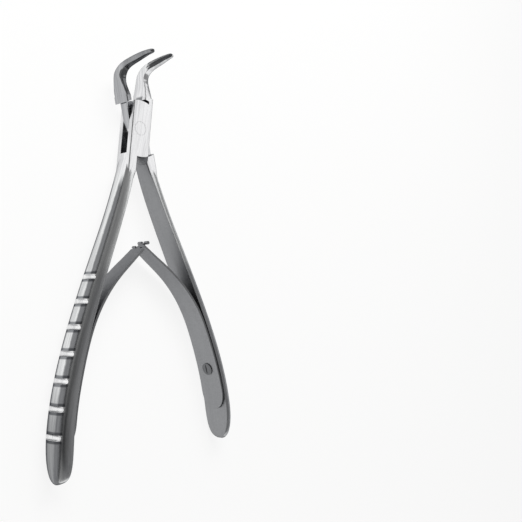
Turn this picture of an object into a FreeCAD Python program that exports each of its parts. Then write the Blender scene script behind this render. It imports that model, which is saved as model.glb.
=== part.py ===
import FreeCAD, Part
import math
import os

os.makedirs("parts", exist_ok=True)
V = FreeCAD.Vector

# Bone rongeur with a box joint and two interlocking leaf springs, lying on its side.
# Millimetres. +Z is the joint axis, +Y points to the jaws, X is the spread of the handles.
# The origin lies on the joint axis, on the underside of the box.
# Built open, as the springs hold it; "arm frame" means the closed tool's own axes.

# driving dimensions
HANDLE_LENGTH = 128.6      # joint axis to the handle ends, along Y
OPEN_HALF_DEG = 9.6        # each arm turns this far from closed
BOX_THICK = 7.6            # along the joint axis
TONGUE_THICK = 3.5         # inner half of the box joint
TONGUE_SIDE = 3.1          # the tongue is slimmer on its jaw side
TONGUE_PLAY = 0.05         # running play on each face of the tongue
BOX_SIDE = 4.9             # half width of the male arm's box part, on its handle side
CHEEK_SIDE = 5.3           # outer side of the slotted cheeks, on their jaw side
CHEEK_CROSS = 4.2          # and on their handle side
NECK_SIDE = 4.1            # the male arm is slimmer on its jaw side
CHEEK_R = 11.2             # rounded ends of the box cheeks
SHOULDER_PLAY = 0.15       # between the cheek ends and the other arm's shoulders
BLOCK_FROM = 5.0           # thick blocks start this far from the axis, inside the cheeks
BLOCK_UP = 13.4            # end of the thick block on the jaw side
BLOCK_DOWN = 15.8          # end of the thick block on the handle side
BLOCK_IN = 1.1             # inner side of the jaw side block, from the closed parting plane
CROTCH_IN = 0.15           # inner side of the handle side block, which stops the closed handles
CROTCH_FEMALE = 17.0       # that side stays straight to here on the female arm
CROTCH_MALE = 14.0         # and to here on the male arm
CROTCH_TAPER = 7.0         # then it tapers into the handle over this length
COLLAR_IN = 1.3            # the male block's upper inner corner is cut back this far
COLLAR_LONG = 2.8          # over this length below the cheeks
EDGE_BREAK = 0.45          # small rounding of the box edges

PIN_R = 2.2                # riveted joint pin
PIN_HEAD_R = 2.7           # peened ends fill the countersinks
PIN_HEAD_H = 0.5
PIN_CLEARANCE = 0.03       # running fit in the tongue

RIM_GAP = 0.04             # left between the two cup rims and the parting plane
SPUR_IN = 1.2              # inner side of the jaws' bases
SPUR_GAP = 1.1             # notch under the female jaw's base, along Y
SPUR_NOTCH = 3.2           # and across, from the parting plane
MOUTH_LONG = 8.5           # the slot's mouth widens over this length, up to the cheek's end
MOUTH_EDGE = 0.4           # thickness left at the cheek's end
MOUTH_DEEP = 2.6           # depth of the widened mouth, from the cheek's side
MALE_NECK_IN = 0.9         # the male neck's inner side lies this much further out

HANDLE_TOP_T = 3.8         # handle thickness near the box
HANDLE_END_T = 5.4         # and at the grip
HANDLE_STEP = 0.1          # the handle's sides start this far inside the box's flat sides
HANDLE_END_W = 12.9        # and at the widest part of the grip
BACK_DOME = 2.3            # squareness of the rounded backs, 2 is an ellipse
WIDEST_AT = 0.88           # of the handle length

GROOVES = 7                # finger grooves across each handle's back
FIRST_GROOVE = 57.8        # from the joint axis
GROOVE_PITCH = 8.75
GROOVE_DEPTH = 1.1
GROOVE_R = 0.9             # round bottom
GROOVE_LIP = 0.6           # rounding of both lips
LIP_LEFT = 16.0            # degrees of each lip left sharp, where it meets the back

SPRING_T = 0.9             # leaf thickness
SPRING_TIP_W = 7.6         # leaf width at the crossing
SPRING_KNEE_W = 10.5       # where its quick taper ends
SPRING_KNEE = 72.0         # from the joint axis
SPRING_W = 11.8            # width at the screw
SPRING_ROUND = 8.0         # length of the rounded lower end
SPRING_LEAN_DEG = 51.6     # free ends, from the long axis
APEX = 46.3                # crossing of the two leaves, from the joint axis
STRAIGHT = 14.0            # straight part next to the crossing
LIFT_OFF = 78.0            # where a leaf leaves its handle
SPRING_END = 115.5         # lower end of a leaf
SEAT_GAP = 0.1             # leaf to handle at the screw
LIFT_GAP = 0.3             # leaf to handle at the lift-off
FORK_REACH = 0.8           # the notched end reaches this far past the crossing
TIP_REACH = 2.8            # and the tongue's T end this far
TONGUE_HALF = 1.4          # half width of the tongue between the fork's prongs
FORK_HALF = 1.65           # half width of the notch
BEAD_R = 0.75              # rolled bead of the T end
BEAD_HALF = 2.9            # half length of the bead
BEAD_NOTCH_HALF = 0.8      # half width of the notch in its middle
NECK_LONG = 1.0            # the tongue starts this far before the crossing
NOTCH_LONG = 1.5           # and the notch for it this far
TIP_BOX = 6.0              # tools that trim the tips are this thick

SCREW_AT = 97.3            # from the joint axis
SCREW_R = 1.3
SCREW_HEAD_R = 2.6
SCREW_HEAD_H = 0.5
SCREW_DEEP = 3.4           # thread in the handle
SCREW_HOLE_PLAY = 0.15     # round the shank, in the leaf

MID = BOX_THICK / 2
UP = V(0, 0, 1)


def save(shape, name):
    shape.exportStep("parts/" + name + ".step")


def block(x0, x1, y0, y1, z0, z1):
    return Part.makeBox(x1 - x0, y1 - y0, z1 - z0, V(x0, y0, z0))


def disc(radius, z0, z1):
    return Part.makeCylinder(radius, z1 - z0, V(0, 0, z0))


def mirrored(shape):
    return shape.mirror(V(0, 0, 0), V(1, 0, 0))


def opened(shape):
    """From the closed arm frame to the open rest pose, for the arm whose jaw is at +X."""
    turned = shape.copy()
    turned.rotate(V(0, 0, 0), UP, -OPEN_HALF_DEG)
    return turned


def softened(solid, radius):
    """Breaks the edges that run along Y."""
    edges = [e for e in solid.Edges if abs(e.Vertexes[0].Y - e.Vertexes[1].Y) > 1.0]
    return solid.makeFillet(radius, edges)


def handle_x(down):
    """Half spread of the handle's middle line, "down" mm below the joint axis."""
    u = down / HANDLE_LENGTH
    return HANDLE_LENGTH * (0.0058 + 0.256 * u + 0.514 * u ** 2 - 0.453 * u ** 3)


def handle_lean(down):
    """Angle of the middle line from the long axis, radians."""
    return math.atan((handle_x(down + 0.05) - handle_x(down - 0.05)) / 0.1)


def handle_t(down):
    return HANDLE_TOP_T + (HANDLE_END_T - HANDLE_TOP_T) * down / HANDLE_LENGTH


def handle_w(down):
    u = down / HANDLE_LENGTH
    top = BOX_THICK - 2 * HANDLE_STEP
    return top + (HANDLE_END_W - top) * min(1.0, u / WIDEST_AT) ** 0.8


def outward(down):
    a = handle_lean(down)
    return V(math.cos(a), math.sin(a), 0)


def inner_face(down, gap=0.0):
    """Point on the right handle's inner face, lifted off it by gap, at mid thickness."""
    off = handle_t(down) / 2 + gap
    return V(handle_x(down), -down, MID) - outward(down) * off


def half_round(origin, out, across, depth, width, power):
    """Closed wire: a flat edge across the width, and a full, rounded back."""
    points = []
    for i in range(11):
        a = math.radians(-90 + 18 * i)
        rise = depth * max(0.0, math.cos(a)) ** (2 / power)
        side = math.copysign(abs(math.sin(a)) ** (2 / power), a) * width / 2
        points.append(origin + out * rise + across * side)
    back = Part.BSplineCurve()
    back.interpolate(points)
    return Part.Wire([back.toShape(), Part.makeLine(points[-1], points[0])])


def handle_wire(down, shrink_w=1.0, shrink_t=1.0, power=BACK_DOME):
    thick = handle_t(down) * shrink_t
    start = V(handle_x(down), -down, MID) - outward(down) * (thick / 2)
    return half_round(start, outward(down), UP, thick, handle_w(down) * shrink_w, power)


def handle():
    """Right handle, at +X in the open pose."""
    end = HANDLE_LENGTH
    wires = [handle_wire(0.095 * end, 0.84, 0.95, 5.0), handle_wire(0.145 * end, 0.94, 1.0, 3.2)]
    wires += [handle_wire(f * end) for f in (0.25, 0.40, 0.56, 0.72, 0.86)]
    wires += [handle_wire(0.925 * end, 0.95, 0.99), handle_wire(0.965 * end, 0.78, 0.93)]
    wires += [handle_wire(0.988 * end, 0.53, 0.76), handle_wire(end, 0.18, 0.36)]
    return Part.makeLoft(wires, True, False)


def arc(centre, radius, start, end):
    """Arc in the groove's own plane, by its angles in degrees, and its end point."""
    points = []
    for degrees in (start, (start + end) / 2, end):
        a = math.radians(degrees)
        points.append(centre + V(math.cos(a), math.sin(a), 0) * radius)
    return Part.Arc(*points).toShape(), points[-1]


def groove_wire():
    """Round bottom and rounded lips: X along the handle, Y outward from its crown."""
    low = GROOVE_R - GROOVE_DEPTH
    span = math.sqrt((GROOVE_R + GROOVE_LIP) ** 2 - (low + GROOVE_LIP) ** 2)
    meet = math.degrees(math.atan2(-GROOVE_LIP - low, span))
    bottom = arc(V(0, low, 0), GROOVE_R, 180 - meet, 360 + meet)[0]
    right, right_top = arc(V(span, -GROOVE_LIP, 0), GROOVE_LIP, 180 + meet, 90 + LIP_LEFT)
    left, left_top = arc(V(-span, -GROOVE_LIP, 0), GROOVE_LIP, -meet, 90 - LIP_LEFT)
    run = GROOVE_R / math.tan(math.radians(LIP_LEFT))
    corners = [right_top, right_top + V(run, GROOVE_R, 0), left_top + V(-run, GROOVE_R, 0), left_top]
    edges = [left, bottom, right] + [Part.makeLine(a, b) for a, b in zip(corners, corners[1:])]
    return Part.Wire(edges)


def groove(down):
    """Cutter for one groove across the back."""
    lean = math.degrees(handle_lean(down))
    solid = Part.Face(groove_wire()).extrude(V(0, 0, HANDLE_END_W * 3))
    solid.rotate(V(0, 0, 0), V(0, 0, 1), lean - 90)
    solid.translate(V(handle_x(down), -down, -HANDLE_END_W) + outward(down) * (handle_t(down) / 2))
    return solid


def grooved_handle():
    solid = handle()
    for i in range(GROOVES):
        solid = solid.cut(groove(FIRST_GROOVE + GROOVE_PITCH * i + 0.055 * i * i))
    return solid


# Stations along a jaw in its arm frame: back point (y, z), front point (y, z),
# inner side x, outer side x, squareness. Heights count from the middle plane.
HALF = BOX_THICK / 2 - 0.06
JAW = [
    ((BLOCK_UP - 1.2, -HALF), (BLOCK_UP - 1.2, HALF), SPUR_IN, BOX_SIDE, 9.0),
    ((BLOCK_UP + 0.5, -HALF), (BLOCK_UP + 0.5, HALF - 0.1), SPUR_IN, BOX_SIDE, 8.0),
    ((16.2, -HALF + 0.1), (16.1, HALF - 0.75), 1.25, 4.7, 7.0),
    ((19.5, -3.15), (19.3, 2.1), 1.2, 4.3, 5.0),
    ((22.2, -2.45), (20.9, 2.0), 0.85, 4.0, 4.0),
    ((24.3, -0.9), (22.2, 2.6), 0.5, 3.7, 3.2),
    ((25.8, 1.6), (23.3, 4.0), 0.2, 3.4, 2.8),
    ((26.7, 4.9), (23.95, 5.9), RIM_GAP, 3.1, 2.6),
    ((27.35, 9.1), (24.6, 9.5), RIM_GAP, 2.7, 2.5),
    ((27.7, 13.2), (25.35, 13.5), RIM_GAP, 2.25, 2.4),
    ((27.7, 16.3), (25.8, 16.4), RIM_GAP, 1.7, 2.3),
    ((27.45, 18.0), (26.0, 18.1), RIM_GAP, 1.2, 2.2),
    ((27.0, 18.7), (26.35, 18.7), RIM_GAP, 0.55, 2.2),
]

# cup stations: fraction between the back and the front point, radius, jaw station
CUP = [(0.5, 0.12, 6.3), (0.5, 0.85, 7.0), (0.5, 1.22, 7.8), (0.5, 1.12, 8.8), (0.5, 0.85, 9.8), (0.5, 0.3, 10.8)]


def jaw_wire(station, side, neck_in):
    """Section at one station. The neck's sides fade into the jaw's own over its first stations."""
    back, front, x_in, x_out, power = station
    neck = max(0.0, min(1.0, (21.0 - back[0]) / 4.0))
    x_in = x_in + neck_in * neck
    x_out = min(x_out, side - 0.08)
    a = V(x_in, back[0], MID + back[1])
    b = V(x_in, front[0], MID + front[1])
    across = b - a
    width = across.Length
    across.normalize()
    return half_round((a + b) * 0.5, V(1, 0, 0), across, x_out - x_in, width, power)


def cup_circle(share, radius, place):
    """Circle square to the jaw's curved middle line, centred on the parting plane."""
    i = min(int(place), len(JAW) - 2)
    f = place - i
    ends = []
    for side in (0, 1):
        p, q = JAW[i][side], JAW[i + 1][side]
        ends.append(V(0, p[0] + (q[0] - p[0]) * f, MID + p[1] + (q[1] - p[1]) * f))
    centre = ends[0] + (ends[1] - ends[0]) * share
    across = ends[1] - ends[0]
    along = V(1, 0, 0).cross(across)
    return Part.Wire([Part.Circle(centre, along, radius).toShape()])


def jaw(side, neck_in):
    """Right jaw with its shank and scooped cup, in the arm frame; side is its neck's outer side."""
    body = Part.makeLoft([jaw_wire(s, side, neck_in) for s in JAW], True, False)
    cup = Part.makeLoft([cup_circle(*c) for c in CUP], True, False)
    return body.cut(cup)


def crotch_tip(down):
    """Point on the handle's inner face in its arm frame, where the lower block runs out."""
    p = inner_face(down)
    a = math.radians(OPEN_HALF_DEG)
    return -(p.x * math.cos(a) + p.y * math.sin(a)) - 0.05, p.y * math.cos(a) - p.x * math.sin(a)


def blocks(side, cross, straight):
    """Full-thickness blocks of the arm whose jaw is at +X: jaw side and handle side."""
    upper = softened(block(BLOCK_IN, side, BLOCK_FROM, BLOCK_UP, 0, BOX_THICK), EDGE_BREAK)
    tip = crotch_tip(straight + CROTCH_TAPER)
    corners = [(-cross, -BLOCK_FROM), (-CROTCH_IN, -BLOCK_FROM), (-CROTCH_IN, -straight)]
    corners += [tip, (-cross + EDGE_BREAK, tip[1]), (-cross, -BLOCK_DOWN)]
    outline = [V(x, y, 0) for x, y in corners]
    lower = Part.Face(Part.makePolygon(outline + outline[:1])).extrude(V(0, 0, BOX_THICK))
    return upper, softened(lower, EDGE_BREAK)


def lid(radius, side, cross):
    """The box outline between its rounded ends."""
    bar = softened(block(-cross, side, -2 * radius, 2 * radius, 0, BOX_THICK), EDGE_BREAK)
    return bar.common(disc(radius, 0, BOX_THICK))


def rivet_profile(extra):
    """Pin with its two flared ends; extra is added to the radius of the straight part."""
    pin = Part.makeCylinder(PIN_R + extra, BOX_THICK)
    low = Part.makeCone(PIN_HEAD_R, PIN_R, PIN_HEAD_H)
    high = Part.makeCone(PIN_R, PIN_HEAD_R, PIN_HEAD_H, V(0, 0, BOX_THICK - PIN_HEAD_H))
    return pin.fuse([low, high])


def screw_axis():
    """Seat point on the right handle's inner face, and the direction out of the face."""
    return inner_face(SCREW_AT), outward(SCREW_AT) * -1


def screw_bore():
    seat, out = screw_axis()
    return Part.makeCylinder(SCREW_R, SCREW_DEEP + 1, seat - out * SCREW_DEEP, out)


def spur_notch():
    """Gap between the front cheek's end and the spur of the jaw's base."""
    ring = disc(CHEEK_R + SPUR_GAP, MID + slot_half(), BOX_THICK + 1)
    ring = ring.cut(disc(CHEEK_R, 0, BOX_THICK + 2))
    return ring.common(block(-BOX_SIDE, SPUR_NOTCH, 0, 2 * CHEEK_R, 0, BOX_THICK + 2))


def slot_mouth():
    """Wedge that widens the slot's upper mouth, on the side where the tongue comes out."""
    low = MID + slot_half() - 0.01
    corners = [(CHEEK_R - MOUTH_LONG, low), (CHEEK_R, low), (CHEEK_R, BOX_THICK - MOUTH_EDGE)]
    outline = [V(-BOX_SIDE, y, z) for y, z in corners]
    face = Part.Face(Part.makePolygon(outline + outline[:1]))
    return face.extrude(V(BOX_SIDE - CHEEK_CROSS + MOUTH_DEEP, 0, 0))


def female_arm():
    """Slotted box, right jaw, left handle."""
    upper, lower = blocks(CHEEK_SIDE, CHEEK_CROSS, CROTCH_FEMALE)
    body = lid(CHEEK_R, CHEEK_SIDE, CHEEK_CROSS).fuse([upper, lower, jaw(CHEEK_SIDE, 0.0)])
    slot = disc(CHEEK_R + SHOULDER_PLAY / 2, MID - slot_half(), MID + slot_half())
    body = body.cut(slot).cut(spur_notch()).cut(slot_mouth())
    body = opened(body.cut(rivet_profile(0.0)))
    left = mirrored(grooved_handle().cut(screw_bore()))
    return body.fuse(left).removeSplitter()


def slot_half():
    return TONGUE_THICK / 2 + TONGUE_PLAY


def collar():
    """Wedge cut from the male block under the cheeks."""
    top = -CHEEK_R * 0.8
    corners = [V(0, top, 0), V(-CROTCH_IN - COLLAR_IN, top, 0), V(-CROTCH_IN - COLLAR_IN, -CHEEK_R, 0)]
    corners += [V(-CROTCH_IN, -CHEEK_R - COLLAR_LONG, 0), V(0, -CHEEK_R - COLLAR_LONG, 0)]
    return Part.Face(Part.makePolygon(corners + corners[:1])).extrude(V(0, 0, BOX_THICK))


def male_arm():
    """Tongue through the box, left jaw, right handle: built as its own mirror image."""
    upper, lower = blocks(NECK_SIDE, BOX_SIDE, CROTCH_MALE)
    lower = lower.cut(collar())
    upper = upper.cut(block(-BOX_SIDE, BLOCK_IN + MALE_NECK_IN, 0, 2 * CHEEK_R, -1, BOX_THICK + 1))
    ends = upper.fuse([lower, jaw(NECK_SIDE, MALE_NECK_IN)])
    hollow = disc(CHEEK_R + SHOULDER_PLAY, -1, BOX_THICK + 1)
    half = TONGUE_THICK / 2
    slab = block(-BOX_SIDE, BOX_SIDE, -BLOCK_DOWN, BLOCK_UP, MID - half, MID + half)
    core = lid(CHEEK_R - SHOULDER_PLAY / 2, TONGUE_SIDE, BOX_SIDE)
    slim = upper.cut(block(TONGUE_SIDE, BOX_SIDE, 0, CHEEK_R + SHOULDER_PLAY, -1, BOX_THICK + 1))
    core = core.fuse([slim, lower]).common(slab)
    body = ends.cut(hollow).fuse(core)
    body = body.cut(Part.makeCylinder(PIN_R + PIN_CLEARANCE, BOX_THICK))
    body = mirrored(opened(body))
    return body.fuse(grooved_handle().cut(screw_bore())).removeSplitter()


def free_point(s):
    """Point of the straight free end, s mm from the crossing towards the handle."""
    a = math.radians(SPRING_LEAN_DEG)
    return V(s * math.sin(a), -APEX - s * math.cos(a), 0)


def leaf_path():
    """Points and unit directions along the right leaf's middle line, tip first."""
    a = math.radians(SPRING_LEAN_DEG)
    lean = V(math.sin(a), -math.cos(a), 0)
    path = [(free_point(s), lean) for s in (-TIP_REACH, 0, STRAIGHT * 0.5, STRAIGHT)]
    start = free_point(STRAIGHT)
    end = on_handle(LIFT_OFF, LIFT_GAP)
    end_dir = down_handle(LIFT_OFF)
    reach = (end - start).Length / 3
    for t in (0.25, 0.5, 0.75):
        path.append(bezier(start, start + lean * reach, end - end_dir * reach, end, t))
    path.append((end, end_dir))
    for f in (0.3, 0.65, 1.0):
        down = LIFT_OFF + (SPRING_END - LIFT_OFF) * f
        gap = LIFT_GAP + (SEAT_GAP - LIFT_GAP) * min(1.0, f * 1.6)
        path.append((on_handle(down, gap), down_handle(down)))
    return path


def bezier(p0, p1, p2, p3, t):
    u = 1 - t
    point = p0 * u ** 3 + p1 * (3 * u * u * t) + p2 * (3 * u * t * t) + p3 * t ** 3
    slope = (p1 - p0) * u ** 2 + (p2 - p1) * (2 * u * t) + (p3 - p2) * t ** 2
    slope.normalize()
    return point, slope


def on_handle(down, gap):
    p = inner_face(down, gap + SPRING_T / 2)
    return V(p.x, p.y, 0)


def down_handle(down):
    out = outward(down)
    return V(out.y, -out.x, 0)


def leaf_blank():
    """Bent strip of the right leaf, full width, with its rounded lower end."""
    sides = []
    for sign in (1, -1):
        curve = Part.BSplineCurve()
        curve.interpolate([p + V(-d.y, d.x, 0) * (sign * SPRING_T / 2) for p, d in leaf_path()])
        sides.append(curve.toShape())
    first, last = sides
    ends = [Part.makeLine(first.Vertexes[i].Point, last.Vertexes[i].Point) for i in (0, 1)]
    face = Part.Face(Part.Wire(Part.__sortEdges__([first, ends[1], last, ends[0]])))
    face.translate(V(0, 0, MID - SPRING_W))
    return face.extrude(V(0, 0, SPRING_W * 2)).common(leaf_front())


def leaf_front():
    """The leaf's outline seen square to its face: two tapers with a rounded lower end."""
    stations = [(-APEX + TIP_REACH + 2, SPRING_TIP_W), (-APEX, SPRING_TIP_W)]
    stations += [(-SPRING_KNEE, SPRING_KNEE_W), (-SPRING_END + SPRING_ROUND, SPRING_W)]
    corners = [V(0, y, MID - w / 2) for y, w in stations]
    corners += [V(0, y, MID + w / 2) for y, w in reversed(stations)]
    taper = Part.Face(Part.makePolygon(corners + corners[:1])).extrude(V(HANDLE_LENGTH, 0, 0))
    low = stations[-1][0]
    wire = half_round(V(0, low, MID), V(0, -1, 0), UP, SPRING_ROUND, SPRING_W, 2.3)
    end = Part.Face(wire).extrude(V(HANDLE_LENGTH, 0, 0))
    outline = taper.fuse(end)
    outline.translate(V(-HANDLE_LENGTH / 4, 0, 0))
    return outline


def tip_box(s0, s1, z_half):
    """Box round the free end between s0 and s1, z_half either side of the middle plane."""
    solid = Part.makeBox(TIP_BOX, s1 - s0, 2 * z_half, V(-TIP_BOX / 2, 0, -z_half))
    solid.rotate(V(0, 0, 0), UP, 180 + SPRING_LEAN_DEG)
    start = free_point(s0)
    solid.translate(V(start.x, start.y, MID))
    return solid


def bead(z_half):
    """Rolled end at the tip."""
    p = free_point(-TIP_REACH)
    return Part.makeCylinder(BEAD_R, 2 * z_half, V(p.x, p.y, MID - z_half))


def leaf_hole():
    seat, out = screw_axis()
    return Part.makeCylinder(SCREW_R + SCREW_HOLE_PLAY, TIP_BOX, seat - out, out)


def forked_leaf():
    """Right leaf: a notch in its end takes the other leaf's tongue."""
    beyond = tip_box(-TIP_REACH - 2, -FORK_REACH, SPRING_W)
    notch = tip_box(-TIP_REACH, NOTCH_LONG, FORK_HALF)
    return leaf_blank().cut(beyond.fuse(notch)).cut(leaf_hole())


def tongued_leaf():
    """Left leaf: a narrow tongue passes through the notch, and its end is a bead with a gap in its middle."""
    neck = tip_box(-TIP_REACH - 2, NECK_LONG, SPRING_W)
    keep = tip_box(-TIP_REACH - 2, NECK_LONG, TONGUE_HALF)
    gap = tip_box(-TIP_REACH - 2, -TIP_REACH + BEAD_R, BEAD_NOTCH_HALF)
    strip = leaf_blank().cut(neck.cut(keep)).fuse(bead(BEAD_HALF))
    return mirrored(strip.cut(gap).cut(leaf_hole()))


def spring_screw():
    """Slotted screw with a low domed head, on the right handle."""
    seat, out = screw_axis()
    top = seat + out * (SEAT_GAP + SPRING_T + 0.2)
    shank = Part.makeCylinder(SCREW_R, SCREW_DEEP + SEAT_GAP + SPRING_T + 0.4, seat - out * SCREW_DEEP, out)
    head = Part.makeCylinder(SCREW_HEAD_R, SCREW_HEAD_H * 0.45, top, out)
    dome_r = (SCREW_HEAD_R ** 2 + (SCREW_HEAD_H * 0.7) ** 2) / (1.4 * SCREW_HEAD_H)
    ball = Part.makeSphere(dome_r, top + out * (SCREW_HEAD_H * 1.15 - dome_r))
    column = Part.makeCylinder(SCREW_HEAD_R, SCREW_HEAD_H * 1.3, top, out)
    solid = shank.fuse([head, ball.common(column)])
    return solid.cut(screw_slot(top, out)).removeSplitter()


def screw_slot(top, out):
    wide = SCREW_HEAD_R * 0.27
    along = V(out.y, -out.x, 0)
    depth = SCREW_HEAD_H * 0.65
    base = top + out * (SCREW_HEAD_H * 1.2 - depth) - along * (SCREW_HEAD_R * 1.2) - UP * wide / 2
    corners = [base, base + along * (SCREW_HEAD_R * 2.4)]
    corners += [corners[1] + UP * wide, base + UP * wide, base]
    return Part.Face(Part.makePolygon(corners)).extrude(out * (depth * 2))


save(female_arm(), "female_arm")
save(male_arm(), "male_arm")
save(rivet_profile(0.0), "pivot_pin")
save(tongued_leaf(), "leaf_spring_left")
save(forked_leaf(), "leaf_spring_right")
save(mirrored(spring_screw()), "spring_screw_left")
save(spring_screw(), "spring_screw_right")
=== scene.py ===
# %% [markdown]
# # A bone rongeur in satin stainless steel
# A rongeur nibbles bone between two small cupped jaws. This one is forged in two
# arms that cross in a box joint, and two leaf springs push its handles apart.
# The solids come from the CAD model, so the work here is finish and light:
# satin steel shows little of its own and much of the room around it.
#
# Geometry Nodes are the tool for what repeats, such as the seven grooves of a handle.
# Here the grooves, the rivet and the screws are in the solids already, and copies
# made here would only lie beside them. So nothing is added to the instrument, and
# only the two leaves are drawn anew, because they bend as the tool closes.

# %% Load the model
import math
from collections import namedtuple

import bmesh
import bpy
from mathutils import Matrix, Vector


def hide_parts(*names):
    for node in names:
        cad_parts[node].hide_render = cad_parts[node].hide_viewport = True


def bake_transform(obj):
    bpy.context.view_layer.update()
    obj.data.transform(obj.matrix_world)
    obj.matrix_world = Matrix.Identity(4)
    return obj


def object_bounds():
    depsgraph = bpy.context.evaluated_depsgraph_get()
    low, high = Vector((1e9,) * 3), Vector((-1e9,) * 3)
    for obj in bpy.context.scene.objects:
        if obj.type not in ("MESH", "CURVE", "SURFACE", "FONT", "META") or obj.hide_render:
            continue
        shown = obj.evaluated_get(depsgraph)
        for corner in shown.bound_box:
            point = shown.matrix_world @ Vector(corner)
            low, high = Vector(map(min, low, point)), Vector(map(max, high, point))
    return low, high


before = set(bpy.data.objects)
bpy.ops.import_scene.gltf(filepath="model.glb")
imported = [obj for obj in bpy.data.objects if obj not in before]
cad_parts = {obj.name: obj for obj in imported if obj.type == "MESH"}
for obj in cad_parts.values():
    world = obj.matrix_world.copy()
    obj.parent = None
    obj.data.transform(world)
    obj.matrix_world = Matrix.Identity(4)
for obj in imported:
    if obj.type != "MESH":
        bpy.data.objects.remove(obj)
cad_low, cad_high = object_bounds()
print("CAD box, metres:", tuple(cad_low), tuple(cad_high))

# %% [markdown]
# ## First helpers
# Colours are written as sRGB hex values, the way a paint chart gives them, and the
# shader works in linear light, so one function converts them. Another adds a node to
# any tree with its settings and links, which keeps each material to a few lines. The
# third starts a material with an empty tree.

# %% Helpers for colours and nodes
MM = 0.001
WHITE = "#ffffff"
MATH = "ShaderNodeMath"
TIMES = {"operation": "MULTIPLY"}
TIMES_PLUS = {"operation": "MULTIPLY_ADD"}
LARGER = {"operation": "MAXIMUM"}
LESS = {"operation": "SUBTRACT"}
UNSIGNED = {"operation": "ABSOLUTE"}
SMOOTH = {"interpolation_type": "SMOOTHSTEP"}


def colour(hex_value):
    """Turns an sRGB hex string into linear red, green, blue and alpha."""
    parts = [int(hex_value[i:i + 2], 16) / 255 for i in (1, 3, 5)]
    linear = [p / 12.92 if p <= 0.04045 else ((p + 0.055) / 1.055) ** 2.4 for p in parts]
    return (*linear, 1.0)


def add(tree, kind, settings=None, **sockets):
    """Adds a node. A socket takes a value, a hex colour or another node's output.

    A socket goes by its name, with _ for a space, or by its number after a _.
    """
    node = tree.nodes.new(kind)
    for name, value in (settings or {}).items():
        setattr(node, name, value)
    for name, value in sockets.items():
        key = int(name[1:]) if name[1:].isdigit() else name.replace("_", " ")
        if isinstance(value, bpy.types.NodeSocket):
            tree.links.new(value, node.inputs[key])
        else:
            node.inputs[key].default_value = colour(value) if isinstance(value, str) else value
    return node


def new_material(name):
    """An empty material and its node tree."""
    material = bpy.data.materials.new(name)
    material.use_nodes = True
    material.node_tree.nodes.clear()
    return material, material.node_tree


# %% [markdown]
# ## Camera
# The photograph looks down at the instrument lying on its side, from its left, with
# the handles towards the lower edge. The three directions below are the camera's own
# right, up and back, found by fitting the handles' curves and the joint.

# %% Camera at the photograph's angle
RIGHT = Vector((0.64355, -0.04768, 0.76392))
UP = Vector((0.01541, 0.99866, 0.04935))
BACK = Vector((-0.76525, -0.01999, 0.64342))
EYE = Vector((-0.19292, -0.05969, 0.22790))
FOCAL_PIXELS = 745.08
IMAGE_PIXELS = 522

lens = bpy.data.cameras.new("camera")
lens.sensor_width = 36
lens.lens = FOCAL_PIXELS * lens.sensor_width / IMAGE_PIXELS
lens.clip_start = 0.01
camera = bpy.data.objects.new("camera", lens)
turn = Matrix((RIGHT, UP, BACK)).transposed()
camera.matrix_world = Matrix.Translation(EYE) @ turn.to_4x4()
bpy.context.scene.collection.objects.link(camera)
bpy.context.scene.camera = camera
bpy.context.scene.view_settings.view_transform = "Standard"
print("lens, mm:", round(lens.lens, 2))

# %% [markdown]
# ## White sheet
# A photographer lays such a tool on a wide white sheet whose far edge sweeps up, so
# that no horizon shows in a low view. A flat disc would end in a grey line. The disc
# here is extruded at its rim in eight short steps that follow a quarter circle.

# %% Sheet with an upturned rim
SHEET_RADIUS = 6.0
SHEET_SIDES = 96
COVE_RADIUS = 0.7
COVE_STEPS = 8
SHEET_GAP = 0.05 * MM


def rim_edges(shape):
    """The edges at the open rim of a sheet."""
    return [edge for edge in shape.edges if edge.is_boundary]


sheet_mesh = bpy.data.meshes.new("floor")
shape = bmesh.new()
bmesh.ops.create_circle(shape, cap_ends=True, segments=SHEET_SIDES, radius=SHEET_RADIUS)
for step in range(1, COVE_STEPS + 1):
    bend = step * math.pi / 2 / COVE_STEPS
    bmesh.ops.extrude_edge_only(shape, edges=rim_edges(shape))
    for vertex in {vertex for edge in rim_edges(shape) for vertex in edge.verts}:
        outward = Vector((vertex.co.x, vertex.co.y, 0)).normalized()
        vertex.co = outward * (SHEET_RADIUS + COVE_RADIUS * math.sin(bend))
        vertex.co.z = COVE_RADIUS * (1 - math.cos(bend))
bmesh.ops.translate(shape, verts=shape.verts, vec=(0, 0, cad_low.z - SHEET_GAP))
shape.to_mesh(sheet_mesh)
shape.free()
sheet_mesh.shade_smooth()
floor = bpy.data.objects.new("floor", sheet_mesh)
bpy.context.scene.collection.objects.link(floor)
print("sheet, metres across:", 2 * (SHEET_RADIUS + COVE_RADIUS))

# %% [markdown]
# ## White paper
# Matt white paper scatters light evenly, so it shows the lamps' fall-off and a soft
# shadow. A catalogue picture keeps little of either. The camera sees this sheet mostly
# as an even white, with a trace of the real paper under it. The steel mirrors almost
# only the even white, because a shaded sheet would draw grey clouds on it.

# %% Paper that looks even
PAPER = "#f7f7f5"
EVEN_SEEN = 0.86
EVEN_MIRRORED = 0.95

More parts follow.
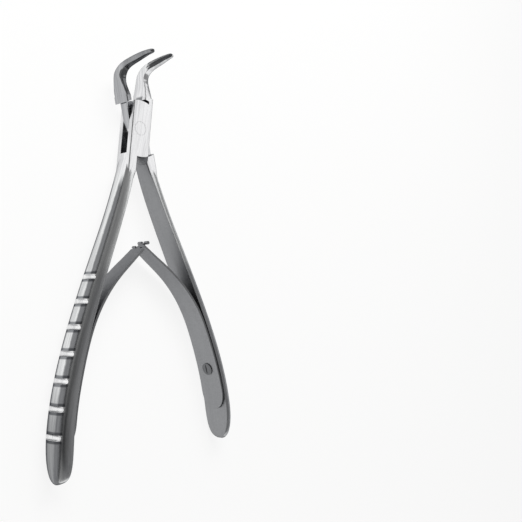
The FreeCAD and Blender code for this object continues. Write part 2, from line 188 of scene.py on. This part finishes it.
paper, tree = new_material("white_paper")
rays = add(tree, "ShaderNodeLightPath").outputs
mirrored = add(
    tree, MATH, LARGER, _0=rays["Is Glossy Ray"], _1=rays["Is Transmission Ray"]
).outputs[0]
mirrored = add(tree, MATH, TIMES, _0=mirrored, _1=EVEN_MIRRORED).outputs[0]
share = add(
    tree, MATH, TIMES_PLUS, _0=rays["Is Camera Ray"], _1=EVEN_SEEN, _2=mirrored
).outputs[0]
matt = add(tree, "ShaderNodeBsdfDiffuse", Color=PAPER).outputs[0]
even = add(tree, "ShaderNodeEmission", Color=WHITE, Strength=1.0).outputs[0]
sheet = add(tree, "ShaderNodeMixShader", _0=share, _1=matt, _2=even).outputs[0]
add(tree, "ShaderNodeOutputMaterial", Surface=sheet)
floor.data.materials.append(paper)
print("paper nodes:", len(tree.nodes))

# %% [markdown]
# ## Soft boxes
# Three lamps behind cloth, as in a studio. The far one stands beyond the jaws and
# lights the paper. Steel doesn't mirror it, because its image would draw hard white
# bands. The other two are small and pale, and hang where one piece mirrors them to the
# camera: the flat box joint mirrors the first, and the right jaw's neck the second.
# The handles lie further down and just miss both.

# %% Lamps
CENTRE = Vector((0, -0.05, 0))


def soft_box(name, direction, distance, width, height, radiance, mirrored=True):
    """A rectangular lamp that faces the instrument. Radiance 1 mirrors as white."""
    lamp = bpy.data.lights.new(name, "AREA")
    lamp.shape = "RECTANGLE"
    lamp.size = width
    lamp.size_y = height
    lamp.energy = radiance * math.pi * width * height
    stand = bpy.data.objects.new(name, lamp)
    aim = Vector(direction).normalized()
    stand.location = CENTRE + aim * distance
    stand.rotation_mode = "QUATERNION"
    stand.rotation_quaternion = aim.to_track_quat("Z", "Y")
    stand.visible_camera = False
    stand.visible_glossy = mirrored
    bpy.context.scene.collection.objects.link(stand)
    print(name, "watts:", round(lamp.energy, 3))


soft_box("soft_box_far", direction=(-0.10, 0.75, 0.65), distance=0.70,
         width=0.60, height=0.30, radiance=9.0, mirrored=False)
soft_box("soft_box_joint", direction=(0.633, 0.280, 0.722), distance=0.50,
         width=0.17, height=0.15, radiance=0.72)
soft_box("soft_box_neck", direction=(0.520, 0.620, 0.585), distance=0.50,
         width=0.20, height=0.20, radiance=0.72)

# %% [markdown]
# ## Dim room
# The room above the table is dim, and dimmest on the camera's own side. The rounded
# backs of the handles then go from bright paper to dark room, and that jump is what
# makes steel look like steel. A smooth fade is enough, since satin blurs what it mirrors.

# %% Room that the steel mirrors
CAMERA_SIDE = (-0.77, 0.0, 0.64)
FADE_STARTS = 0.3
FADE_ENDS = 0.95
ROOM_GREY = 0.30
ROOM_DARK = 0.19

room = bpy.data.worlds.new("room")
room.use_nodes = True
tree = room.node_tree
tree.nodes.clear()
where = add(tree, "ShaderNodeTexCoord").outputs["Generated"]
toward = add(
    tree, "ShaderNodeVectorMath", {"operation": "DOT_PRODUCT"}, _0=where, _1=CAMERA_SIDE
).outputs["Value"]
fade = add(
    tree, "ShaderNodeMapRange", SMOOTH, Value=toward, From_Min=FADE_STARTS,
    From_Max=FADE_ENDS, To_Min=ROOM_GREY, To_Max=ROOM_DARK,
).outputs[0]
glow = add(tree, "ShaderNodeBackground", Color=WHITE, Strength=fade).outputs[0]
add(tree, "ShaderNodeOutputWorld", Surface=glow)
bpy.context.scene.world = room
print("room brightness:", ROOM_GREY, "to", ROOM_DARK)

# %% [markdown]
# ## Satin stainless steel
# The arms are hardened martensitic stainless steel. Their backs and the box joint are
# ground and polished, so they mirror the room softly. The flat inner faces of the
# handles are blasted with fine glass beads, which turns them an even grey.
#
# One picture wrapped round the arm could hold all of this, but it would have to be
# painted. A finish laid on by rule is sharper and needs no picture: a rule asks where
# a point lies along the arm and which way it faces. The handles are bent, so the
# streaks of the grinding wheel need coordinates that bend with them. A cubic gives how
# far a handle's middle stands out, and it is taken off X.

# %% Where a point lies and which way it faces
HANDLE_LENGTH = -cad_low.y
HANDLE_CURVE = (-0.453, 0.514, 0.256, 0.0058)

Place = namedtuple("Place", "path spread along height sideways outward upward")


def place_on_arm(tree, side):
    """Where a point lies, and its facing sideways, out from its own arm's side, and up.

    The path's X runs across the bent handle of that side, and its Y along the arm.
    """
    where = add(tree, "ShaderNodeTexCoord").outputs
    point = add(tree, "ShaderNodeSeparateXYZ", Vector=where["Object"]).outputs
    down = add(tree, MATH, TIMES, _0=point["Y"], _1=-1 / HANDLE_LENGTH).outputs[0]
    bend = HANDLE_CURVE[0]
    for term in HANDLE_CURVE[1:]:
        bend = add(tree, MATH, TIMES_PLUS, _0=down, _1=bend, _2=term).outputs[0]
    across = add(
        tree, MATH, TIMES_PLUS, _0=bend, _1=-side * HANDLE_LENGTH, _2=point["X"]
    ).outputs[0]
    path = add(tree, "ShaderNodeCombineXYZ", X=across, Y=point["Y"], Z=point["Z"]).outputs[0]
    facing = add(tree, "ShaderNodeSeparateXYZ", Vector=where["Normal"]).outputs
    outward = add(tree, MATH, TIMES, _0=facing["X"], _1=side).outputs[0]
    return Place(path, point["X"], point["Y"], point["Z"], facing["X"], outward, facing["Z"])


print("handle length, mm:", round(HANDLE_LENGTH / MM, 1))

# %% [markdown]
# ## Masks and coats
# A painter masks off a part, sprays it, and masks the next. The two helpers below do
# the same with any number of edges and coats. A mask is a number from 0 to 1, and its
# edge is a smooth step, because polishing wheels leave no sharp borders. The edges of
# one mask are multiplied, so the mask is 1 only where all of them are.

# %% Helpers for masks and coats
def mask(tree, *edges):
    """One where each value has gone from its first limit to its second, else down to 0.

    An edge is a value with its two limits, or another mask.
    """
    whole = None
    for edge in edges:
        if isinstance(edge, tuple):
            value, outside, inside = edge
            edge = add(
                tree, "ShaderNodeMapRange", SMOOTH, Value=value, From_Min=outside, From_Max=inside
            ).outputs[0]
        whole = edge if whole is None else add(tree, MATH, TIMES, _0=whole, _1=edge).outputs[0]
    return whole


def coats(tree, base, *layers):
    """A colour or a number, with others laid over it in turn, each through its mask."""
    coloured = isinstance(base, str) or getattr(base, "type", "VALUE") == "RGBA"
    kind, under, result = ("RGBA", 6, 2) if coloured else ("FLOAT", 2, 0)
    for share, over in layers:
        sockets = {"_0": share, f"_{under}": base, f"_{under + 1}": over}
        base = add(tree, "ShaderNodeMix", {"data_type": kind}, **sockets).outputs[result]
    return base


# %% [markdown]
# ## Streaks and grit
# A grinding belt leaves streaks along the handle about 0.05 mm wide, and bead blasting
# leaves dimples of about 0.05 mm. Both are too fine to show in this picture, so they
# are drawn 0.35 mm and 0.3 mm wide. One wave of a noise texture holds a light streak
# and a dark one, hence the half in its scale. Ground steel also varies in wider bands.

# %% Noise for the three kinds of unevenness
BAND_WIDTH = 1.6 * MM
GRIT_WIDTH = 0.3 * MM
BAND_SHARE = 0.55
Grain = namedtuple("Grain", "streaks uneven grit")


def grain_of(tree, path, streak_width, stretch):
    """Streaks along a handle, the same with broad bands in them, and grit."""
    drawn_out = add(
        tree, "ShaderNodeMapping", Vector=path, Scale=(1, 1 / stretch, 1)
    ).outputs[0]
    streaks = add(
        tree, "ShaderNodeTexNoise", Vector=drawn_out, Scale=0.5 / streak_width,
        Detail=3, Roughness=0.6,
    ).outputs[0]
    bands = add(
        tree, "ShaderNodeTexNoise", Vector=drawn_out, Scale=0.5 / BAND_WIDTH, Detail=1
    ).outputs[0]
    grit = add(
        tree, "ShaderNodeTexNoise", Vector=path, Scale=0.5 / GRIT_WIDTH, Detail=2
    ).outputs[0]
    return Grain(streaks, coats(tree, streaks, (BAND_SHARE, bands)), grit)


# %% [markdown]
# ## Tones of an arm
# Polished, ground, blasted and milled steel are one metal, and only their surface
# differs. In a picture this small that reads as a tone, so each surface gets a grey of
# its own as well as its roughness. Several greys are painted light and shade instead:
# painted shade on the grip's upper flank, the rounded edges, the jaws and the cups,
# and a painted highlight in each groove. The tones are matched to the photograph.

# %% Greys, and what each gives the eye
GROUND = "#f1f2f2"      # backs of the handles: nearly as bright as what they mirror
POLISHED = "#f0f0f1"    # box joint: the same steel, with a smoother surface
BLASTED = "#9d9ea0"     # inner faces: flat grey without a highlight
FLANK_SHADE = "#c4c5c7"       # upper side of the grip: painted shade, a softer grey beside the bright back
RIM_SHADE = "#808183"         # rounded edges and faces turned down: painted shade, the dark line that draws a handle's outline
DARKER_END = "#a1a2a3"    # handle end: darker, except on its upper side
JAW_SHADE = "#bcbdbf"    # sides of a jaw: painted shade, a little darker than the box
JAW_TIP_SHADE = "#9a9b9d"     # painted shade, darker still towards the tip
JAW_FRONT = "#7c7d7f"   # step above the box on the left jaw, in the shade of the bend
CUP_SHADE = "#5c5d5f"      # cups: painted shade in the hollow
GROOVE_HIGHLIGHT = WHITE       # each groove's floor: painted highlight, the brightest spots
HOLLOW_SHADE_GREY = "#8c8d8f"       # painted shade in corners and in the lock
STREAK_AND_SHADE = "#9c9da0"      # what a streak, or the painted shade beside a groove, takes from the tone under it
EDGE = "#9a9b9d"        # what any of them mirrors at a grazing angle
print("darkest and brightest tone:", CUP_SHADE, GROOVE_HIGHLIGHT)

# %% [markdown]
# ## Where each tone starts
# The limits below are read from the CAD model, in millimetres from the joint towards
# the jaws, or up from the underside of the box. A tone fades in from the first value
# to the second. Limits for a facing are parts of a whole: 1 is straight up or out.

# %% Limits along the arm and for its facing
def limits(first, second):
    """Two limits given in millimetres."""
    return first * MM, second * MM


BOX_BELOW, BOX_ABOVE = limits(-19, -16), limits(26, 22)
NEAR_BOX_ABOVE = limits(18, 16)
HANDLE_FROM = limits(-9, -10)
RIM_FROM = limits(-17, -24)
GRIP_FROM = limits(-50, -58)
DARKER_END_FROM = limits(-86, -112)
JAW_FROM = {-1: limits(11.5, 12.5), 1: limits(-0.5, 0.5)}
FRONT_FROM = limits(12, 13)
TIP_UP = limits(4, 10)
CUP_UP = limits(8.0, 9.2)

INWARD = (-0.35, -0.6)
CUP_OUTWARD = (0.35, 0.75)
GROOVE_OUTWARD, GROOVE_LEVEL = (0.25, 0.5), (0.7, 0.55)
JAW_SIDEWAYS = {-1: (0.2, 0.6), 1: (0.5, 0.1)}
FRONT_SIDEWAYS, FRONT_UPWARD = (0.6, 0.4), (-0.2, 0.1)
DARKER_END_LEVEL = (0.70, 0.56)
FLANK_UPWARD = (0.7, 0.95)
RIM_UPWARD, RIM_LEVEL, RIM_UNDER = (0.10, 0.24), (0.68, 0.54), (-0.12, -0.40)
print("polished box, mm along the arm:", BOX_BELOW[1] / MM, "to", BOX_ABOVE[1] / MM)


# %% Lay the tones on an arm
def tones_of_arm(tree, side, at, box, inner, cup, groove_highlights):
    """The colour of an arm from the ground steel upwards, painted shade and highlights included,
    before its streaks and the painted shade of its hollows.
    """
    # painted shade on the sides of the jaw, darker towards its tip
    jaw = mask(tree, (at.along, *JAW_FROM[side]), (at.sideways, *JAW_SIDEWAYS[side]))
    # painted shade on the rounded edges and on faces turned down
    rim = add(
        tree, MATH, LARGER,
        _0=mask(tree, (at.upward, *RIM_UPWARD), (at.upward, *RIM_LEVEL)),
        _1=mask(tree, (at.upward, *RIM_UNDER)),
    ).outputs[0]
    layers = [
        (box, POLISHED),
        (mask(tree, (at.along, *DARKER_END_FROM), (at.upward, *DARKER_END_LEVEL)), DARKER_END),
        # painted shade on the upper side of the grip
        (mask(tree, (at.along, *GRIP_FROM), (at.upward, *FLANK_UPWARD)), FLANK_SHADE),
        (mask(tree, (at.along, *RIM_FROM), rim), RIM_SHADE),
        (jaw, JAW_SHADE),
        (mask(tree, jaw, (at.height, *TIP_UP)), JAW_TIP_SHADE),
    ]
    if side > 0:
        aslant = add(tree, MATH, UNSIGNED, _0=at.sideways).outputs[0]
        front = mask(
            tree, (at.along, *FRONT_FROM), (aslant, *FRONT_SIDEWAYS), (at.upward, *FRONT_UPWARD)
        )
        layers.append((front, JAW_FRONT))
    # painted shade in the cups and painted highlights in the grooves
    layers += [(inner, BLASTED), (cup, CUP_SHADE), (groove_highlights, GROOVE_HIGHLIGHT)]
    return coats(tree, GROUND, *layers)


# %% [markdown]
# ## Finger grooves
# Seven grooves are cut across each handle, and their spacing grows a little towards
# the end. Each groove's floor gets a painted highlight, and a band on either side of it
# gets painted shade. The bands have to follow the grooves, so the spacing
# is written as a rule: groove n lies at FIRST + PITCH n + GROWTH n squared, in
# millimetres below the joint, measured on the outer face. Solved for n, the rule tells
# each point which groove is nearest.

# %% Distance from the nearest groove
FIRST_GROOVE = 56.9
GROOVE_PITCH = 8.745
GROOVE_GROWTH = 0.076
LAST_GROOVE = 6.0
FLOOR_EDGE = (0.95, 0.75)
SHADE_BAND_INNER, SHADE_BAND_OUTER = (0.75, 1.0), (2.1, 1.6)


def from_groove(tree, along):
    """How many millimetres a point lies from the middle of the nearest groove."""
    below = add(tree, MATH, TIMES_PLUS, _0=along, _1=-1 / MM, _2=-FIRST_GROOVE).outputs[0]
    root = add(
        tree, MATH, TIMES_PLUS, _0=below, _1=4 * GROOVE_GROWTH, _2=GROOVE_PITCH ** 2
    ).outputs[0]
    root = add(tree, MATH, {"operation": "SQRT"}, _0=root).outputs[0]
    number = add(
        tree, MATH, TIMES_PLUS, _0=root, _1=0.5 / GROOVE_GROWTH,
        _2=-0.5 * GROOVE_PITCH / GROOVE_GROWTH,
    ).outputs[0]
    nearest = add(tree, "ShaderNodeClamp", Value=number, Min=0.0, Max=LAST_GROOVE).outputs[0]
    nearest = add(tree, MATH, {"operation": "ROUND"}, _0=nearest).outputs[0]
    away = add(tree, MATH, LESS, _0=number, _1=nearest).outputs[0]
    away = add(tree, MATH, UNSIGNED, _0=away).outputs[0]
    return add(tree, MATH, TIMES, _0=away, _1=GROOVE_PITCH).outputs[0]


def groove_marks(tree, at):
    """Two masks: painted highlights on the bottoms of the grooves, and painted shade in the bands
    beside them.
    """
    away = from_groove(tree, at.along)
    outer = mask(tree, (at.outward, *GROOVE_OUTWARD), (at.upward, *GROOVE_LEVEL))
    floor_highlights = mask(tree, outer, (at.along, *GRIP_FROM), (away, *FLOOR_EDGE))
    return floor_highlights, mask(tree, outer, (away, *SHADE_BAND_INNER), (away, *SHADE_BAND_OUTER))


LAST_GROOVE_AT = FIRST_GROOVE + GROOVE_PITCH * LAST_GROOVE + GROOVE_GROWTH * LAST_GROOVE ** 2
print("first and last groove, mm below the joint:", FIRST_GROOVE, round(LAST_GROOVE_AT, 1))

# %% [markdown]
# ## Painted shade in the hollows
# Corners get painted shade, and the box lock most of all, where the slot lies deep.
# Ambient occlusion finds the corners. It can't tell the inside of the lock from the shade
# around it, so the walls of the slot and the tongue in it are masked by their place.

# %% Painted shade in the corners and in the lock
BOX_MIDDLE = 3.8 * MM
SLOT_HALF = 1.83 * MM
SLOT_EDGE = (SLOT_HALF + 0.2 * MM, SLOT_HALF + 0.05 * MM)
SLOT_BELOW, SLOT_ABOVE = limits(-10.3, -9.9), limits(14, 13)
SLOT_WALL = limits(4.15, 3.9)
TONGUE_FACE = limits(0.6, 1.4)
OPEN_SLOPE = math.tan(math.radians(9.6))
CORNER_REACH = 4 * MM
CORNER_SHADE = (0.65, 0.35)
CORNER_SHADE_SHARE = 0.5


def in_the_lock(tree, side, at):
    """Painted shade: one on the walls of the slot, and on the tongue where it is inside the other
    arm.
    """
    level = add(tree, MATH, LESS, _0=at.height, _1=BOX_MIDDLE).outputs[0]
    level = add(tree, MATH, UNSIGNED, _0=level).outputs[0]
    if side < 0:
        turned = add(
            tree, MATH, TIMES_PLUS, _0=at.along, _1=side * OPEN_SLOPE, _2=at.spread
        ).outputs[0]
        deep = (add(tree, MATH, UNSIGNED, _0=turned).outputs[0], *SLOT_WALL)
    else:
        deep = (add(tree, MATH, TIMES, _0=at.sideways, _1=at.along).outputs[0], *TONGUE_FACE)
    return mask(
        tree, (level, *SLOT_EDGE), (at.along, *SLOT_BELOW), (at.along, *SLOT_ABOVE), deep
    )


def painted_hollow_shade(tree, side, at, near_box):
    """How much painted shade lies on a point, in corners and in the lock."""
    open_sky = add(
        tree, "ShaderNodeAmbientOcclusion", {"samples": 8, "only_local": True},
        Distance=CORNER_REACH,
    ).outputs["AO"]
    corners = mask(tree, (open_sky, *CORNER_SHADE), coats(tree, 0.0, (near_box, CORNER_SHADE_SHARE)))
    lock = in_the_lock(tree, side, at)
    return add(tree, MATH, LARGER, _0=corners, _1=lock).outputs[0]


print("slot, mm high:", round(2 * SLOT_HALF / MM, 2))

# %% [markdown]
# ## The metal itself
# All the steels here end in the same few nodes. Streaks darken the tone, grit only the
# blasted faces. Roughness follows the streaks as well, by a tenth at most, because a
# streak that only darkens looks printed. A Bevel node rounds the edges that the solids
# have sharp, which real polishing never leaves, and a fine bump breaks the mirror.
# A metal keeps the default IOR: its look comes from colour and roughness.

# %% Nodes that every steel ends in
STREAK_LIMITS = (0.60, 0.38)
GRIT_LIMITS = (0.35, 0.65)
GRIT_DARKEST = 0.90
STREAKS_ON_BLASTED = 0.06
GLOSS_SWING = 0.10
BEVEL_SAMPLES = 8


def streaks_over(tree, tone, streaks_and_shade):
    """A tone darkened by the streaks, and on the arms also by painted shade beside the grooves.
    """
    multiply = {"data_type": "RGBA", "blend_type": "MULTIPLY"}
    return add(tree, "ShaderNodeMix", multiply, _0=streaks_and_shade, _6=tone, _7=STREAK_AND_SHADE).outputs[2]


def dullness(tree, grain, inner, streaky):
    """How much the streaks darken, which is little on a blasted face."""
    strength = coats(tree, streaky, (inner, STREAKS_ON_BLASTED))
    return mask(tree, (grain.uneven, *STREAK_LIMITS), strength)


def metal(tree, grain, inner, shade, roughness, relief, edge):
    """The shader of a steel, with its grit, its relief and its rounded edges."""
    gloss = add(
        tree, MATH, TIMES_PLUS, _0=grain.uneven, _1=-GLOSS_SWING, _2=roughness
    ).outputs[0]
    gloss = add(tree, MATH, {"operation": "ADD"}, _0=gloss, _1=GLOSS_SWING / 2).outputs[0]
    dimples = coats(tree, GRIT_DARKEST, (mask(tree, (grain.grit, *GRIT_LIMITS)), 1.0))
    shade = add(
        tree, "ShaderNodeVectorMath", {"operation": "SCALE"}, _0=shade,
        Scale=coats(tree, 1.0, (inner, dimples)),
    ).outputs[0]
    rounded = add(tree, "ShaderNodeBevel", {"samples": BEVEL_SAMPLES}, Radius=edge).outputs[0]
    normal = add(
        tree, "ShaderNodeBump", Strength=1.0, Distance=relief,
        Height=coats(tree, grain.streaks, (inner, grain.grit)), Normal=rounded,
    ).outputs[0]
    shader = add(
        tree, "ShaderNodeBsdfPrincipled", Base_Color=shade, Metallic=1.0, Roughness=gloss,
        Specular_Tint=EDGE, Normal=normal,
    ).outputs[0]
    add(tree, "ShaderNodeOutputMaterial", Surface=shader)


# %% [markdown]
# ## Ground and blasted steel of the arms
# Ground steel has a roughness of about a quarter, the polished box a little less, and
# bead blasting nearly a half. The milled cups lie between. Each arm has its own
# material, because its grooves, its jaw and its half of the lock lie on its own side.

# %% Steel of an arm
ARM_ROUGH = 0.26
BOX_SMOOTHER = 0.08
BLASTED_ROUGH = 0.46
CUP_ROUGH = 0.40
ARM_STREAKY = 0.40
ARM_STREAK = 0.35 * MM
ARM_STRETCH = 24
ARM_RELIEF = 0.004 * MM
ARM_EDGE = 0.3 * MM
BOX_EDGE = 0.12 * MM


def arm_steel(name, side):
    """Steel with ground backs, blasted inner faces, a polished box and a milled cup, with painted
    shade and highlights among its tones.
    """
    material, tree = new_material(name)
    at = place_on_arm(tree, side)
    grain = grain_of(tree, at.path, ARM_STREAK, ARM_STRETCH)
    inner = mask(tree, (at.outward, *INWARD), (at.along, *HANDLE_FROM))
    # the cup: rougher steel, with painted shade in its tone
    cup = mask(tree, (at.outward, *CUP_OUTWARD), (at.height, *CUP_UP))
    box = mask(tree, (at.along, *BOX_BELOW), (at.along, *BOX_ABOVE))
    near_box = mask(tree, (at.along, *BOX_BELOW), (at.along, *NEAR_BOX_ABOVE))
    # painted highlights in the grooves and painted shade in the bands beside them
    floor_highlights, bands = groove_marks(tree, at)
    tone = tones_of_arm(tree, side, at, box, inner, cup, floor_highlights)
    streaks_and_shade = dullness(tree, grain, inner, ARM_STREAKY)
    # painted shade in the bands beside the grooves, laid on with the streaks
    streaks_and_shade = add(tree, MATH, LARGER, _0=streaks_and_shade, _1=bands).outputs[0]
    # painted shade in the corners and in the lock
    hollow_shade_amount = painted_hollow_shade(tree, side, at, near_box)
    shade = coats(tree, streaks_over(tree, tone, streaks_and_shade), (hollow_shade_amount, HOLLOW_SHADE_GREY))
    roughness = coats(
        tree, ARM_ROUGH, (box, ARM_ROUGH - BOX_SMOOTHER), (inner, BLASTED_ROUGH), (cup, CUP_ROUGH)
    )
    edge = coats(tree, ARM_EDGE, (near_box, BOX_EDGE))
    metal(tree, grain, inner, shade, roughness, ARM_RELIEF, edge)
    print(name, "nodes:", len(tree.nodes))
    return material


female_steel = arm_steel("ground_stainless_steel_left", -1)
male_steel = arm_steel("ground_stainless_steel_right", 1)

# %% [markdown]
# ## Dress the arms and the pin
# The CAD nodes keep their meshes, and only their material changes. The pin is peened
# and then ground flush with the box, so it wears the same steel as the slotted arm.

# %% Materials on the CAD nodes
def dress(node_name, material):
    """Gives a CAD node one material."""
    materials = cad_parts[node_name].data.materials
    materials.clear()
    materials.append(material)
    print(node_name, "wears", material.name)


for node_name, material in (
    ("female_arm", female_steel), ("male_arm", male_steel), ("pivot_pin", female_steel)
):
    dress(node_name, material)

# %% [markdown]
# ## Spring steel and turned steel
# The leaves are hardened strip steel. Brushing along the strip leaves them evenly grey
# and less shiny than the arms. The screws are turned on a lathe and left as cut, which
# looks darker than the leaf around them. Neither has tones by place, so both are the
# same metal in one grey. A brush line is about 0.03 mm wide, too fine to show, and is
# drawn 0.3 mm wide.

# %% Steel of the leaves and the screws
SPRING = "#9b9c9e"    # leaves: even grey
TURNED = "#7b7c7e"    # screws: darker, so the heads stand out on the leaves
FINE_STREAK = 0.3 * MM
FINE_STREAKY = 0.10
FINE_RELIEF = 0.002 * MM


def plain_steel(name, tone, rough, stretch, edge):
    """Steel of one tone with fine streaks."""
    material, tree = new_material(name)
    at = place_on_arm(tree, 1)
    grain = grain_of(tree, at.path, FINE_STREAK, stretch)
    inner = mask(tree, (at.outward, *INWARD), (at.along, *HANDLE_FROM))
    shade = streaks_over(tree, tone, dullness(tree, grain, inner, FINE_STREAKY))
    roughness = coats(tree, rough, (inner, BLASTED_ROUGH))
    metal(tree, grain, inner, shade, roughness, FINE_RELIEF, edge)
    print(name, "nodes:", len(tree.nodes))
    return material


spring_steel = plain_steel(
    "brushed_spring_steel", SPRING, rough=0.42, stretch=16, edge=0.08 * MM
)
screw_steel = plain_steel(
    "turned_screw_steel", TURNED, rough=0.30, stretch=4, edge=0.15 * MM
)
for node_name in ("spring_screw_left", "spring_screw_right"):
    dress(node_name, screw_steel)

# %% [markdown]
# ## Leaf springs
# Each spring is held at its foot by one screw and bends along its free length. A rigid
# solid would lift its foot from the handle as the tool closes. The strip is narrow,
# tapered and notched at its end, and its CAD mesh already has that shape, so a copy of
# the mesh is used rather than a new strip drawn along a curve. Loose triangles don't
# bend smoothly: their doubles are merged first, and the strip is cut crosswise every
# 1.5 mm, so that each slice can follow the handle or the tip.
#
# Where the leaves hook into each other they have 0.25 mm of play, and a copy bent along
# its slices wouldn't follow the real ones quite exactly. So the tips are drawn 0.1 mm slimmer on
# each side, fading in over 4 mm, and they clear each other at both ends of the motion.

# %% Copies of the leaves, cut crosswise
CUT_FROM, CUT_TO = limits(-84, -44)
CUT_STEP = 1.5 * MM
CUT_TOUCH = 1e-7
DOUBLES = 0.002 * MM
TIP_FROM = -53 * MM
TIP_FADE = 4 * MM
TIP_ROOM = 0.1 * MM
SHARP_ANGLE = math.radians(12)


def leaf_mesh(source, name):
    """A merged copy of a leaf's mesh, cut crosswise and slimmer at its tip."""
    shape = bmesh.new()
    shape.from_mesh(source)
    bmesh.ops.remove_doubles(shape, verts=shape.verts, dist=DOUBLES)
    level = CUT_FROM
    while level < CUT_TO:
        everything = shape.verts[:] + shape.edges[:] + shape.faces[:]
        bmesh.ops.bisect_plane(
            shape, geom=everything, plane_co=(0, level, 0), plane_no=(0, 1, 0), dist=CUT_TOUCH
        )
        level += CUT_STEP
    shape.normal_update()
    for vertex in shape.verts:
        near_tip = min(max((vertex.co.y - TIP_FROM) / TIP_FADE, 0), 1)
        vertex.co -= vertex.normal * TIP_ROOM * near_tip
    mesh = bpy.data.meshes.new(name)
    shape.to_mesh(mesh)
    shape.free()
    mesh.shade_smooth()
    mesh.set_sharp_from_angle(angle=SHARP_ANGLE)
    mesh.materials.append(spring_steel)
    return mesh


# %% [markdown]
# The cuts leave long thin faces, and their normals would draw ragged marks on the
# brushed steel. A Weighted Normal modifier lets the large flat faces decide instead.

# %% Even shading of the copies
def flexing_leaf(node_name):
    """A copy of the strip, evenly shaded, that takes the place of the CAD leaf."""
    mesh = leaf_mesh(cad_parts[node_name].data, "flexing_" + node_name)
    piece = bpy.data.objects.new("flexing_" + node_name, mesh)
    bpy.context.scene.collection.objects.link(piece)
    even = piece.modifiers.new("even_normals", "WEIGHTED_NORMAL")
    even.keep_sharp = True
    even.mode = "FACE_AREA"
    even.weight = 100
    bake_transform(piece)
    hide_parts(node_name)
    print(piece.name, "vertices:", len(mesh.vertices))


flexing_leaf("leaf_spring_left")
flexing_leaf("leaf_spring_right")
